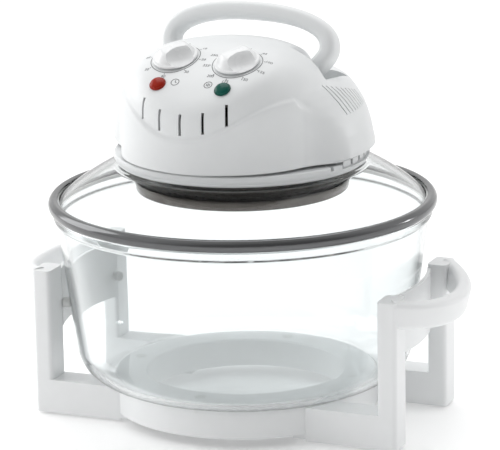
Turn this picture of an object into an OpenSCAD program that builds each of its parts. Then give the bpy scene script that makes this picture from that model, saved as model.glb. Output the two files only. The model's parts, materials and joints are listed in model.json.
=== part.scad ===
// Halogen oven: glass bowl in a two-handled stand, under a glass lid that carries the heating head.
// Origin on the bowl's axis at table height, front towards -Y, handles along X. Millimetres.

/* [Bowl] */
// Outer radius of the glass wall just under its rim
bowl_r = 158; // [150:1:170]
// Height of the bowl from its underside to its rim
bowl_h = 147; // [130:1:170]
// Outside rounding between underside and wall
bowl_corner_r = 32; // [26:1:36]
// How far the wall draws in between its rim and the rounding
bowl_taper = 13; // [8:1:18]
// Glass thickness of the bowl
bowl_glass = 5; // [4:0.5:6]
// How far the rim bead stands out of the wall
bowl_bead = 3; // [2:0.5:4]

/* [Stand] */
// Height of the seat that carries the bowl
seat_z = 32.7; // [28:0.5:40]
// Height of the ring's lower edge above the table
ring_lift = 8; // [6:0.5:10]
// How far the ring stands out past the bowl's flat underside
ring_out = 1; // [0:0.5:4]
// Width of the ring's top
ring_w = 30; // [24:1:34]
// Wall thickness of the ring
ring_wall = 3; // [2.5:0.5:4]
// Depth of a post and an arm, front to back
post_d = 26.5; // [20:0.5:30]
// Width of a post
post_w = 17; // [14:1:20]
// Distance from the middle of the stand to a post's outer side face
post_y = 76.5; // [70:0.5:80]
// Height of the grips' top where they leave the posts
grip_z = 127; // [116:1:134]
// Height of a grip
grip_h = 23; // [18:1:26]
// Thickness of a grip
grip_t = 13; // [10:1:16]
// How far a grip bows out beyond the posts
grip_bow = 36; // [32:1:44]
// Angle at which a grip slopes down from the posts
grip_slope = 13; // [0:1:16]
// Gap between the bowl's wall and the webs at their top
frame_gap = 4; // [2:0.5:6]
// Height of the lower edge of the web behind a grip
web_z = 73; // [66:1:84]
// Thickness of a web
web_t = 3; // [2:0.5:4]
// Diameter of the bumper pegs
peg_d = 9; // [6:0.5:12]
// Height of the rubber feet under the posts
foot_h = 1.5; // [1:0.5:3]

/* [Lid] */
// How far the round lid is turned on the bowl
lid_turn = -4; // [-30:1:30]
// Thickness of the lid glass
lid_glass_t = 4.5; // [3.5:0.5:5.5]
// Height of the lid glass dome from its edge to its centre opening
lid_rise = 31; // [24:1:38]
// Height of the steel rim band
band_h = 10; // [8:0.5:12]
// Sheet thickness of the rim band
band_t = 1.2; // [0.8:0.2:2]
// How far the collar that seats on the lid glass lies inside the casing's rear
collar_in = 5; // [3:0.5:7]
// Width of the collar's seat on the glass
collar_w = 11; // [10:0.5:13]
// Height of the collar
collar_h = 9; // [8:0.5:11]
// How much lower the collar is behind the drum, where the vents are
collar_step = 4; // [3:0.5:5]

/* [Head] */
// Rear radius of the head casing at its lower edge
head_r = 113; // [110:0.5:118]
// Wall thickness of the casings
case_t = 2.6; // [2:0.2:3.4]
// Radius of the round front drum at its lower edge
drum_r = 89.5; // [86:0.5:92]
// How far the drum's centre lies in front of the lid's axis
drum_y = 25; // [22:1:28]
// Height of the domed console above the casing's lower edge
console_h = 94; // [90:1:100]
// Height of the rear shoulder above the casing's lower edge
shoulder_h = 61; // [58:1:64]
// Height of the air gap between collar and upper casing
neck_gap = 2.5; // [2:0.5:4]
// Radius of the curved control panel, front to back
panel_r = 135; // [125:1:150]
// Number of tall slots in the front
slot_count = 5; // [3:1:7]
// Width of a front slot
slot_w = 2.4; // [1.6:0.2:3]
// Number of louvres on each side of the rear shoulder
louvre_count = 7; // [4:1:9]

/* [Controls] */
// Radius of a knob's round skirt
knob_r = 19; // [16:0.5:20]
// Distance of each knob from the middle of the panel
knob_x = 28.4; // [26:0.2:32]
// Height of a knob's grip bar
knob_h = 13; // [9:0.5:16]
// Angle at which the knobs' grip bars stand
knob_turn = -38; // [-60:1:60]
// Radius of a pilot lamp's lens
lamp_r = 7; // [5:0.5:8]
// Distance of each pilot lamp from the middle of the panel
lamp_x = 29.6; // [26:0.2:34]

/* [Handle] */
// Distance of each handle pivot from the middle
pivot_x = 60; // [58:0.5:62]
// Length of the handle from its pivots to its top bar
bail_h = 55; // [50:1:60]
// Half width of the handle at its widest
bail_x = 74; // [70:0.5:75.5]
// Angle at which the raised handle leans back
bail_lean = 20; // [10:1:25]
// Thickness of the handle seen from the front
bail_t = 15; // [12:0.5:16]
// Depth of the handle seen from the side
bail_d = 20; // [16:0.5:22]

/* [Heater] */
// Gap between the steel pan ring and the edge of the lid's centre opening, seen from above
pan_gap = 6.5; // [5:0.5:9]
// Height of the pan ring
pan_h = 8.7; // [6:0.1:11]
// Height of the perforated wall above the pan ring
guard_h = 16.5; // [13:0.5:18]
// Radius of the ring-shaped halogen tube
tube_r = 64; // [60:1:68]
// Diameter of the halogen tube
tube_d = 10; // [8:0.5:12]
// Radius of the convection fan
fan_r = 44; // [36:1:48]
// Number of convection fan blades
fan_blades = 8; // [6:1:10]

/* [Hidden] */

seat_gap = 0.3;
white = [0.93, 0.93, 0.93];
steel = [0.72, 0.73, 0.74];
dark_steel = [0.32, 0.3, 0.29];
clear_glass = [0.86, 0.91, 0.92, 0.4];

// Glass bowl
bowl_z = seat_z + seat_gap;
bowl_top = bowl_z + bowl_h;
bowl_arc_z = bowl_z + bowl_corner_r;
bead_z = bowl_top - 9;
bowl_base_r = bowl_r - bowl_taper - bowl_corner_r;
wall_tilt = atan(bowl_taper / (bead_z - bowl_arc_z));

// Outer radius of the bowl's wall at height z above the corner
function bowl_wall(z) =
  bowl_base_r + bowl_corner_r * cos(wall_tilt) + (z - bowl_arc_z + bowl_corner_r * sin(wall_tilt))
    * (bowl_r - bowl_base_r - bowl_corner_r * cos(wall_tilt))
    / (bead_z - bowl_arc_z + bowl_corner_r * sin(wall_tilt));

// Stand
ring_r = bowl_base_r + ring_out;
ring_in = ring_r - ring_w;
peg_z = web_z + 20;
web_r = bowl_wall(grip_z - 4) + frame_gap;
post_in = post_y - post_d;
post_x = sqrt(pow(web_r, 2) - pow(post_in, 2)) + post_w - 0.5;
arm_top = seat_z - 2;
screw_r = ring_r - 11;
screw_y = post_y - post_d / 2;
screw_x = sqrt(pow(screw_r, 2) - pow(screw_y, 2));
tongue_in = screw_x - 8;
tongue_z = foot_h + 2;
tongue_top = arm_top - 5;
grip_end = post_y - 1;
grip_arc_r = (pow(grip_end, 2) + pow(grip_bow, 2)) / (2 * grip_bow);
grip_arc_x = post_x + grip_bow - grip_arc_r;

// Lid
collar_r = head_r - collar_in;
opening_r = collar_r - collar_w;
bead_r = bowl_r + bowl_bead;
band_r = bead_r + 4;
seal_h = 2.5;
seal_z = bowl_top + seat_gap;
lid_z = seal_z + seal_h + 1.2;
lid_edge_r = band_r - band_t - 1.5;
band_lip = 8;
lid_dome_r = band_r - band_lip - 1.5;
lid_flat_r = collar_r - 2;
lid_top = lid_z + lid_glass_t + lid_rise;
lid_bulge = 2.5;
clamp_top = lid_top - lid_glass_t - 0.1;
clamp_t = 1.2;

// Head
collar_z = lid_top + 0.8;
collar_top = collar_z + collar_h;
case_z = collar_top + neck_gap;
console_top = case_z + console_h;
shoulder_z = case_z + shoulder_h;
neck_in = 7.5;
collar_disc_r = opening_r - 22;
collar_disc_t = 3;
boss_at = opening_r - 2;
knob_y = 62;
lamp_y = 92;
dome_a = drum_r - 2.6;
dome_z = case_z + 38.5;
dome_n = 2.7;
panel_y = -12;
panel_z = console_top - panel_r;
flare_x = drum_r - 3.5;
flare_y = -48;
flare_out = head_r - 3.4;
flare_out_y = -27.3;
ridge_low = case_z + 27.5;
ridge_rise = 29.5;
ridge_x = drum_r - 11.5;
knob_slope = asin((knob_y + panel_y) / panel_r);
lamp_slope = asin((lamp_y + panel_y) / panel_r);

// Handle pivots and the pocket that they sit in
pivot_y = 10;
pivot_z = shoulder_z - 2.6;
pocket_x = pivot_x - 9;
pocket_y = -2.5;
well_r = 12.5;
well_in = pivot_x - bail_t / 2 - 1.2;
well_out = pivot_x + bail_t / 2 + 1.2;
relief_z = shoulder_z - 9;
relief_y = pivot_y + 32;
relief_x = bail_x + bail_t * 0.4;
pin_r = 2.5;
boss_r = 9.5;

// Heater below the lid, and the drive above it
pan_r = opening_r - pan_gap;
pan_top = collar_z - guard_h;
pan_z = pan_top - pan_h;
plate_z = collar_z + collar_disc_t + 0.05;
plate_t = 1.2;
plate_r = opening_r - 16.5;
reflector_z = pan_top + 9;
tube_z = pan_top + 1;
fan_z = pan_z + 4.6;
shaft_r = 3;
motor_z = case_z + 17;
motor_w = 62;
motor_t = 18;
motor_post = motor_w * 0.62;
cooling_z = plate_z + plate_t + 3.5;

// Gap between the panel's inside and the flat top of what hangs under it
body_drop = 2.6;

function smooth(t) = let (c = min(1, max(0, t))) c * c * (3 - 2 * c);
function arc(cx, cy, r, a0, a1, n) =
  [for (i = [0:n]) let (a = a0 + (a1 - a0) * i / n) [cx + r * cos(a), cy + r * sin(a)]];

module on_lid() { rotate([0, 0, lid_turn]) children(); }
module both_x() { children(); mirror([1, 0, 0]) children(); }
module both_y() { children(); mirror([0, 1, 0]) children(); }
module ring(r_out, r_in, z0, z1) {
  difference() {
    translate([0, 0, z0]) cylinder(r = r_out, h = z1 - z0, $fn = 96);
    translate([0, 0, z0 - 1]) cylinder(r = r_in, h = z1 - z0 + 2, $fn = 96);
  }
}
// Puts its children on the curved panel: slope is the panel's angle there
module on_panel(x, slope) {
  translate([x, panel_y - panel_r * sin(slope), panel_z + panel_r * cos(slope)])
    rotate([slope, 0, 0]) children();
}
module pan_screw(r, head_r, length) {
  cylinder(r = r, h = length, $fn = 20);
  translate([0, 0, -1.8]) cylinder(r1 = head_r * 0.8, r2 = head_r, h = 1.8, $fn = 24);
}

// Stand
module tongues(play) {
  both_y() translate([tongue_in - play, post_in - play, tongue_z - play])
    cube([ring_r - tongue_in + 6, post_d + 2 * play, tongue_top - tongue_z + 2 * play]);
}
module base_ring() {
  color(white) difference() {
    union() {
      rotate_extrude($fn = 128)
        polygon([[ring_in, ring_lift], [ring_in + ring_wall, ring_lift],
          [ring_in + ring_wall, seat_z - ring_wall], [ring_r - ring_wall, seat_z - ring_wall],
          [ring_r - ring_wall, ring_lift], [ring_r, ring_lift], [ring_r, seat_z - 5],
          [ring_r - 1.2, seat_z - 1.4], [ring_r - 3, seat_z], [ring_in + 1.5, seat_z],
          [ring_in, seat_z - 1.5]]);
      for (a = [0:15:345])
        if (abs(sin(a)) < 0.2 || abs(cos(a)) < 0.65)
          rotate([0, 0, a]) translate([ring_in + 1, -1, ring_lift + 3])
            cube([ring_w - 2, 2, seat_z - ring_lift - 4]);
      both_x() both_y()
        translate([screw_x, screw_y, tongue_top + 0.1])
          cylinder(r = 4, h = seat_z - tongue_top - 1.1, $fn = 24);
    }
    both_x() tongues(0.2);
    both_x() both_y()
      translate([screw_x, screw_y, ring_lift - 2]) cylinder(r = 1.3, h = seat_z - ring_lift, $fn = 20);
  }
}

// A rounded bar standing on end: w along X, d along Y
module rounded_post(w, d, h, r) {
  linear_extrude(height = h)
    union() {
      translate([r, 0]) square([w - 2 * r, d]);
      translate([0, r]) square([w, d - 2 * r]);
      for (x = [r, w - r], y = [r, d - r]) translate([x, y]) circle(r = r, $fn = 32);
    }
}
module grip_profile(inset) {
  r = 4.5 - inset;
  translate([grip_arc_r - grip_t + inset, -grip_h + inset])
    union() {
      translate([r, 0]) square([grip_t - 2 * inset - 2 * r, grip_h - 2 * inset]);
      translate([0, r]) square([grip_t - 2 * inset, grip_h - 2 * inset - 2 * r]);
      for (x = [r, grip_t - 2 * inset - r], y = [r, grip_h - 2 * inset - r])
        translate([x, y]) circle(r = r, $fn = 32);
    }
}
module frame_body() {
  arc_end = asin(grip_end / grip_arc_r);
  difference() {
    union() {
      both_y() {
        translate([post_x - post_w, post_in, foot_h]) rounded_post(post_w, post_d, grip_z - foot_h, 4);
        translate([screw_x, post_in, foot_h])
          cube([post_x - post_w / 2 - screw_x, post_d, arm_top - foot_h]);
      }
      translate([post_x, 0, grip_z]) rotate([0, grip_slope, 0]) translate([grip_arc_x - post_x, 0, 0])
        rotate([0, 0, -arc_end]) rotate_extrude(angle = 2 * arc_end, $fn = 96) grip_profile(0);
      intersection() {
        ring(web_r + web_t, web_r, web_z, grip_z - 3);
        translate([0, -post_in - 2, 0]) cube([400, 2 * post_in + 4, 400]);
      }
    }
    cylinder(r = ring_r + 0.1, h = 200, $fn = 128);
    // Room for the bowl all the way up
    translate([0, 0, arm_top + 1]) cylinder(r = web_r, h = 200, $fn = 128);
  }
}
module handle_frame() {
  difference() {
    union() {
      frame_body();
      tongues(0);
    }
    both_y() {
      translate([screw_x, screw_y, foot_h]) cylinder(r = 1.8, h = 60, $fn = 20);
      translate([screw_x, screw_y, tongue_z - 1]) cylinder(r = 4, h = 4, $fn = 24);
      translate([post_x - post_w / 2, post_y - post_d / 2, 0]) cylinder(r = 6.2, h = foot_h + 2, $fn = 32);
      rotate([0, 0, asin(post_in / web_r)]) translate([web_r - 1, 0, peg_z])
        rotate([0, 90, 0]) cylinder(r = peg_d / 4 + 0.05, h = web_t + 2, $fn = 24);
    }
  }
}
module left_handle_frame() { color(white) mirror([1, 0, 0]) handle_frame(); }
module right_handle_frame() { color(white) handle_frame(); }
module bowl_seat_pads() {
  color([0.8, 0.8, 0.78]) for (a = [0:90:270])
    rotate([0, 0, a]) translate([(ring_in + ring_r) / 2, 0, seat_z])
      cylinder(r = 5, h = seat_gap - 0.05, $fn = 32);
}
module bowl_bumpers() {
  peg_gap = bowl_wall(peg_z + peg_d / 2) + 0.3;
  color([0.88, 0.88, 0.87]) both_x() both_y()
    rotate([0, 0, asin(post_in / web_r)]) translate([0, 0, peg_z]) rotate([0, 90, 0]) {
      translate([0, 0, peg_gap + 1]) cylinder(r = peg_d / 2, h = web_r - peg_gap - 1.15, $fn = 32);
      translate([0, 0, peg_gap]) cylinder(r1 = peg_d / 2 - 1, r2 = peg_d / 2, h = 1, $fn = 32);
      translate([0, 0, web_r - 0.2]) cylinder(r = peg_d / 4, h = web_t, $fn = 24);
    }
}
module rubber_feet() {
  color([0.25, 0.25, 0.25]) both_x() both_y()
    translate([post_x - post_w / 2, post_y - post_d / 2, 0]) cylinder(r = 6, h = foot_h + 1.95, $fn = 32);
}
module frame_screws() {
  color(steel) both_x() both_y()
    translate([screw_x, screw_y, tongue_z + 3]) pan_screw(1.25, 3.4, seat_z - tongue_z - 6);
}

// Bowl
module bowl_profile() {
  in_r = bowl_corner_r - bowl_glass;
  polygon(concat(
    [[0, bowl_z], [bowl_base_r, bowl_z]],
    arc(bowl_base_r, bowl_arc_z, bowl_corner_r, -84, -wall_tilt, 12),
    [[bowl_r, bead_z], [bowl_r + bowl_bead * 0.8, bead_z + 2], [bead_r, bead_z + 4],
      [bead_r, bowl_top - 1.5], [bead_r - 1.5, bowl_top],
      [bead_r - bowl_bead - bowl_glass + 1, bowl_top],
      [bead_r - bowl_bead - bowl_glass, bowl_top - 1], [bowl_r - bowl_glass, bead_z]],
    arc(bowl_base_r, bowl_arc_z, in_r, -wall_tilt, -84, 12),
    [[bowl_base_r, bowl_z + bowl_glass], [0, bowl_z + bowl_glass]]));
}
module glass_bowl() { color(clear_glass) rotate_extrude($fn = 128) bowl_profile(); }

// Lid
module lid_glass() {
  n = 10;
  function top(t) = [lid_dome_r + (lid_flat_r - lid_dome_r) * t,
    lid_top - lid_rise + lid_rise * t + 4 * lid_bulge * t * (1 - t)];
  color(clear_glass) rotate_extrude($fn = 128)
    polygon(concat([[opening_r, lid_top - lid_glass_t], [opening_r, lid_top]],
      [for (i = [n:-1:0]) top(i / n)],
      [[lid_edge_r - 1, lid_z + lid_glass_t], [lid_edge_r, lid_z + lid_glass_t - 1],
        [lid_edge_r, lid_z + 1], [lid_edge_r - 1, lid_z]],
      [for (i = [0:n]) top(i / n) - [lid_glass_t * 0.5 * (1 - i / n), lid_glass_t]]));
}
module rim_band() {
  z0 = seal_z + 0.5;
  z1 = z0 + band_h;
  color(steel) rotate_extrude($fn = 128)
    polygon([[band_r - 1.6, z0], [band_r - 0.4, z0 + 1.2], [band_r, z0 + 3], [band_r, z1 - 3],
      [band_r - 0.9, z1 - 0.9], [band_r - 3, z1], [band_r - band_lip, z1 - 0.6],
      [band_r - band_lip, z1 - 0.6 - band_t], [band_r - 3, z1 - band_t],
      [band_r - band_t - 0.6, z1 - 2.6], [band_r - band_t, z0 + 3],
      [band_r - band_t - 0.6, z0 + 2], [band_r - 4.5, z0 + 1.2], [band_r - 4.5, z0]]);
}
module rim_seal() {
  color([0.82, 0.82, 0.8]) rotate_extrude($fn = 128)
    polygon([[bowl_r - bowl_glass, seal_z], [bead_r - 1.2, seal_z], [bead_r - 1.2, seal_z + seal_h],
      [bead_r - 1.8, lid_z - 0.2], [bowl_r - bowl_glass, lid_z - 0.2]]);
}
module collar_gasket() {
  color([0.75, 0.75, 0.73]) on_lid() ring(collar_r - 4, opening_r + 0.5, lid_top + 0.05, collar_z - 0.05);
}

// Plan of the upper casing, drawn in by k: a round drum in front of a wider rear body
module head_plan(k) {
  translate([0, -drum_y]) circle(r = drum_r - k, $fn = 96);
  intersection() {
    circle(r = head_r - k, $fn = 128);
    rear_plan(k);
  }
}
module rear_plan(k) {
  polygon([[-flare_x + k, flare_y + 3 * k], [-flare_out + k * 0.4, flare_out_y + k],
    [-200, flare_out_y + k], [-200, 200], [200, 200], [200, flare_out_y + k],
    [flare_out - k * 0.4, flare_out_y + k], [flare_x - k, flare_y + 3 * k]]);
}
// Lower casing of the head: the collar that seats on the glass, and the vented neck above it
module collar_housing() {
  vent_z = collar_top - collar_step;
  color(white) on_lid() difference() {
    union() {
      rotate_extrude($fn = 128)
        polygon([[collar_disc_r, collar_z], [collar_r - 3.4, collar_z], [collar_r - 0.8, collar_z + 3.4],
          [collar_r, collar_z + 5], [collar_r, collar_top - 0.8], [collar_r - 0.8, collar_top],
          [collar_r - 4, collar_top], [collar_r - 4, collar_z + collar_disc_t],
          [collar_disc_r, collar_z + collar_disc_t]]);
      translate([0, 0, collar_z + 1]) linear_extrude(height = case_z + 6 - collar_z) difference() {
        head_plan(neck_in);
        head_plan(neck_in + 2.2);
      }
      intersection() {
        translate([0, 0, collar_z + 1]) linear_extrude(height = collar_h - 1) difference() {
          circle(r = collar_r - 2, $fn = 96);
          head_plan(neck_in + 1);
        }
        translate([0, 0, collar_z]) cylinder(r = collar_r - 1, h = collar_h, $fn = 96);
      }
      for (a = [30:120:270]) rotate([0, 0, a]) translate([boss_at, 0, collar_z + 1])
        cylinder(r = 4, h = case_z + 11 - collar_z, $fn = 24);
    }
    // Behind the drum the collar steps down and bares the vents
    intersection() {
      translate([0, 0, vent_z]) linear_extrude(height = 30) difference() {
        circle(r = collar_r + 5, $fn = 96);
        head_plan(neck_in);
      }
      translate([-200, -drum_y, 0]) cube([400, 400, 400]);
    }
    for (a = [-20:8:200]) rotate([0, 0, a])
      translate([head_r - neck_in - 6, -1.7, vent_z + 0.6]) cube([12, 3.4, collar_step + neck_gap - 1]);
    for (a = [30:120:270]) rotate([0, 0, a]) translate([boss_at, 0, collar_z - 1]) {
      cylinder(r = 1.6, h = 60, $fn = 20);
      cylinder(r = 3.3, h = 3, $fn = 24);
    }
    for (a = [0:90:270]) rotate([0, 0, a + 45]) translate([opening_r - 7, 0, collar_z - 1])
      cylinder(r = 1.6, h = 20, $fn = 20);
  }
}
module clamp_ring() {
  color(dark_steel) on_lid() difference() {
    rotate_extrude($fn = 128)
      polygon([[opening_r - 13, clamp_top - clamp_t], [opening_r + 2.5, clamp_top - clamp_t],
        [opening_r + 2.5, clamp_top], [opening_r - 1, clamp_top],
        [opening_r - 1, collar_z - 0.02], [opening_r - 2.2, collar_z - 0.02],
        [opening_r - 2.2, clamp_top], [opening_r - 13, clamp_top]]);
    for (a = [0:90:270]) rotate([0, 0, a + 45]) translate([opening_r - 7, 0, clamp_top - 10])
      cylinder(r = 1.6, h = 20, $fn = 20);
  }
}
module clamp_screws() {
  color(steel) on_lid() for (a = [0:90:270])
    rotate([0, 0, a + 45]) translate([opening_r - 7, 0, clamp_top - clamp_t - 0.9])
      pan_screw(1.5, 3.2, collar_z + collar_disc_t + 3 - clamp_top);
}

// Upper casing. The inset k gives the same form drawn in by the wall thickness.
function dome_profile(k) =
  [for (i = [0:14]) let (t = 90 * i / 14)
    [(dome_a - k) * pow(cos(t), 2 / dome_n), dome_z + (console_top - dome_z - k) * pow(sin(t), 2 / dome_n)]];
function ridge(x) = ridge_low + ridge_rise * smooth(pow(abs(x) / ridge_x, 1.25));
// The skirt's upper edge falls away again behind its crests: [distance behind the crest, drop]
ridge_fall = [[-100, -60], [8, -6], [12, 2.4], [17, 6.2], [21, 11], [26, 15.6], [31, 20.5], [36.5, 27.2],
  [42, 36], [46.5, 46], [49, 56]];
ridge_y = -70;
module console(k) {
  intersection() {
    translate([0, -drum_y, 0]) rotate_extrude($fn = 96)
      polygon(concat([[0, case_z - 5], [dome_a - k, case_z - 5]], dome_profile(k), [[0, console_top - k]]));
    union() {
      translate([-200, panel_y, panel_z]) rotate([0, 90, 0]) cylinder(r = panel_r - k, h = 400, $fn = 180);
      translate([-200, panel_y, 0]) cube([400, 200, 500]);
    }
  }
}
module front_skirt(k) {
  n = 40;
  intersection() {
    rotate([90, 0, 90]) translate([0, 0, -150]) linear_extrude(height = 300)
      polygon(concat([[ridge_y - 120, case_z - 20]],
        [for (p = ridge_fall) [ridge_y + p[0] - k * 0.7, ridge_low + ridge_rise - p[1] - k * 0.7]],
        [[ridge_y + 50, case_z - 20]]));
    translate([0, -drum_y, 0]) rotate_extrude($fn = 96)
      polygon(concat([[0, case_z - 5], [drum_r - k - 2, case_z - 5], [drum_r - k - 2, case_z],
        [drum_r - k, case_z + 2]], dome_profile(k - drum_r + dome_a), [[0, console_top]]));
    rotate([90, 0, 0]) translate([0, 0, -60]) linear_extrude(height = 220)
      polygon(concat([[-100, case_z - 5]],
        [for (i = [-n:n]) [i * 100 / n, ridge(i * 100 / n) - k]], [[100, case_z - 5]]));
  }
}
module rear_body(k) {
  s = shoulder_z - case_z;
  intersection() {
    rotate_extrude($fn = 128)
      polygon([[0, case_z - 5], [head_r - 3.5 - k, case_z - 5], [head_r - 3.5 - k, case_z],
        [head_r - k, case_z + 2.5], [head_r - 0.2 - k, case_z + s * 0.08],
        [head_r - 1.5 - k, case_z + s * 0.18],
        [head_r - 3.2 - k, case_z + s * 0.33], [head_r - 5.8 - k, case_z + s * 0.48],
        [head_r - 9.5 - k, case_z + s * 0.63], [head_r - 14.5 - k, case_z + s * 0.77],
        [head_r - 20 - k, case_z + s * 0.89 - k * 0.4], [head_r - 25 - k, case_z + s * 0.965 - k * 0.8],
        [head_r - 29 - k, shoulder_z - k], [0, shoulder_z - k]]);
    translate([0, 0, case_z - 6]) linear_extrude(height = 200) rear_plan(k);
  }
}
// The cord inlet's place, square to the rear wall
module at_inlet() { translate([0, head_r - 2, case_z + 16]) rotate([-79, 0, 0]) children(); }
// What the handle's pockets take away; g grows them by the wall that stays around them
module handle_pockets(g) {
  both_x() {
    translate([pocket_x - g, pocket_y - g, shoulder_z - g]) cube([100, 150, 100]);
    translate([well_in - g, pivot_y, pivot_z]) rotate([0, 90, 0])
      cylinder(r = well_r + g, h = well_out - well_in + 2 * g, $fn = 48);
    translate([well_in - g, pivot_y - well_r - g, pivot_z])
      cube([well_out - well_in + 2 * g, 2 * (well_r + g), 60]);
    translate([pocket_x - g, pocket_y - g, relief_z - g])
      cube([relief_x - pocket_x + 2 * g, relief_y - pocket_y + 2 * g, 60]);
  }
}
module case_form(k) {
  difference() {
    union() { console(k); front_skirt(k); rear_body(k); }
    handle_pockets(k);
  }
}
module front_slots() {
  slot_l = 17.5;
  step = 10.2;
  for (i = [0:slot_count - 1]) {
    a = (i - (slot_count - 1) / 2) * step;
    lift = 9 * pow(a / (2 * step), 2);
    rotate([0, 0, a]) translate([-slot_w / 2, -head_r - 10, ridge_low + 3.5 + lift])
      cube([slot_w, 25, slot_l]);
  }
}
module louvres() {
  both_x() for (i = [0:louvre_count - 1])
    rotate([0, 0, -12 + 4.2 * i]) translate([head_r - 12, 0, shoulder_z - 13 - i * 0.4])
      rotate([32, 12, 0]) translate([-20, -0.8, -13 + i * 0.7]) cube([40, 1.6, 26 - 1.8 * i]);
}
module upper_housing() {
  color(white) on_lid() difference() {
    union() {
      difference() {
        case_form(0);
        case_form(case_t);
      }
      for (a = [30:120:270]) rotate([0, 0, a]) {
        translate([boss_at, 0, case_z + 12.2]) cylinder(r = 3.6, h = 12, $fn = 24);
        translate([boss_at, -1, case_z + 12.2])
          cube([(a == 270 ? drum_y + drum_r - 1.2 : head_r - 3.5) - boss_at, 2, 12]);
      }
    }
    translate([0, 0, case_z - 60]) cylinder(r = 200, h = 60, $fn = 16);
    front_slots();
    louvres();
    for (x = [-knob_x, knob_x]) on_panel(x, knob_slope)
      translate([0, 0, -20]) cylinder(r = 4.2, h = 40, $fn = 32);
    for (x = [-lamp_x, lamp_x]) on_panel(x, lamp_slope)
      translate([0, 0, -20]) cylinder(r = lamp_r - 1.2, h = 40, $fn = 32);
    both_x() translate([pivot_x - 17, pivot_y, pivot_z]) rotate([0, 90, 0])
      cylinder(r = pin_r + 0.05, h = well_out + case_t + 17.6 - pivot_x, $fn = 32);
    translate([pivot_x, pivot_y, pivot_z - 30]) cylinder(r = 2.3, h = 30, $fn = 24);
    at_inlet() translate([0, 0, -20]) cylinder(r = 5.6, h = 40, $fn = 32);
    for (a = [30:120:270]) rotate([0, 0, a]) translate([boss_at, 0, case_z + 5])
      cylinder(r = 1.3, h = 16, $fn = 20);
  }
}
module housing_screws() {
  color(steel) on_lid() for (a = [30:120:270])
    rotate([0, 0, a]) translate([boss_at, 0, collar_z + 1.95]) pan_screw(1.25, 3, case_z - collar_z + 17);
}

// Heater
module perforated_guard() {
  n = 48;
  top = clamp_top - clamp_t - 0.05;
  r_top = opening_r - 1.5;
  r_low = pan_r - 1.5;
  color(dark_steel) on_lid() difference() {
    rotate_extrude($fn = 96)
      polygon([[r_low - 0.8, pan_top + 0.05], [r_low, pan_top + 0.05], [r_top, top - 0.7],
        [r_top, top], [opening_r - 13, top], [opening_r - 13, top - 0.7], [r_top - 0.9, top - 0.7]]);
    for (i = [0:n - 1]) rotate([0, 0, i * 360 / n])
      translate([r_low - 6, -2.4, pan_top + 2]) cube([18, 4.8, top - pan_top - 4]);
    for (a = [0:90:270]) rotate([0, 0, a + 45]) translate([opening_r - 7, 0, top - 5])
      cylinder(r = 1.6, h = 10, $fn = 20);
  }
}
module pan_ring() {
  color(steel) on_lid() rotate_extrude($fn = 128)
    polygon([[pan_r - 5, pan_z], [pan_r - 1.4, pan_z], [pan_r - 0.3, pan_z + 0.8], [pan_r, pan_z + 2],
      [pan_r + 0.3, pan_top - 0.6], [pan_r - 0.2, pan_top], [pan_r - 5.5, pan_top],
      [pan_r - 5.5, pan_top - 0.8], [pan_r - 0.8, pan_top - 0.8], [pan_r - 1, pan_z + 2],
      [pan_r - 1.8, pan_z + 0.9], [pan_r - 5, pan_z + 0.9]]);
}
module fan_grille() {
  z0 = pan_z + 0.95;
  wire = 1.6;
  color(steel) on_lid() {
    for (r = [18:8.3:pan_r - 3]) ring(r + wire / 2, r - wire / 2, z0, z0 + wire);
    ring(pan_r - 2, pan_r - 4, z0, z0 + wire);
    for (a = [0:30:330]) rotate([0, 0, a]) translate([12, -wire / 2, z0]) cube([pan_r - 15, wire, wire]);
    translate([0, 0, z0]) cylinder(r = 13, h = wire, $fn = 48);
  }
}
module reflector_pan() {
  color(steel) on_lid() difference() {
    rotate_extrude($fn = 96)
      polygon([[shaft_r + 3, reflector_z], [pan_r - 12, reflector_z], [pan_r - 6, pan_top + 2.5],
        [pan_r - 6, pan_top + 0.05], [pan_r - 2.6, pan_top + 0.05], [pan_r - 2.6, pan_top + 0.85],
        [pan_r - 5.2, pan_top + 0.85], [pan_r - 5.2, pan_top + 3], [pan_r - 11.5, reflector_z + 0.8],
        [shaft_r + 3, reflector_z + 0.8]]);
    for (s = [-1, 1]) translate([s * 9, tube_r, reflector_z - 2]) cylinder(r = 4.2, h = 6, $fn = 24);
  }
}
module halogen_tube() {
  gap = 16;
  color([0.95, 0.92, 0.85, 0.7]) on_lid() {
    rotate([0, 0, 90 + gap / 2]) rotate_extrude(angle = 360 - gap, $fn = 96)
      translate([tube_r, tube_z]) circle(r = tube_d / 2, $fn = 32);
    for (s = [-1, 1]) translate([s * 9, tube_r, tube_z])
      cylinder(r = 3.2, h = reflector_z - tube_z + 4, $fn = 24);
  }
}
module tube_holders() {
  color([0.9, 0.88, 0.84]) on_lid() {
    for (a = [-30, 210]) rotate([0, 0, a]) translate([tube_r, 0, 0]) difference() {
      translate([-7, -4, tube_z - 2]) cube([14, 8, reflector_z - tube_z + 1.95]);
      translate([0, 20, tube_z]) rotate([90, 0, 0]) cylinder(r = tube_d / 2 + 0.25, h = 40, $fn = 32);
      translate([-tube_d / 2 + 0.6, -10, tube_z - 8]) cube([tube_d - 1.2, 20, 8]);
    }
    for (s = [-1, 1]) translate([s * 9, tube_r, 0])
      ring(6, 3.3, reflector_z + 0.85, reflector_z + 5);
  }
}
module insulation_disc() {
  color([0.85, 0.83, 0.78]) on_lid()
    difference() {
      ring(collar_disc_r - 0.5, shaft_r + 4, reflector_z + 0.85, plate_z - 0.05);
      for (s = [-1, 1]) translate([s * 9, tube_r, 0]) cylinder(r = 7, h = 400, $fn = 24);
    }
}
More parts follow.
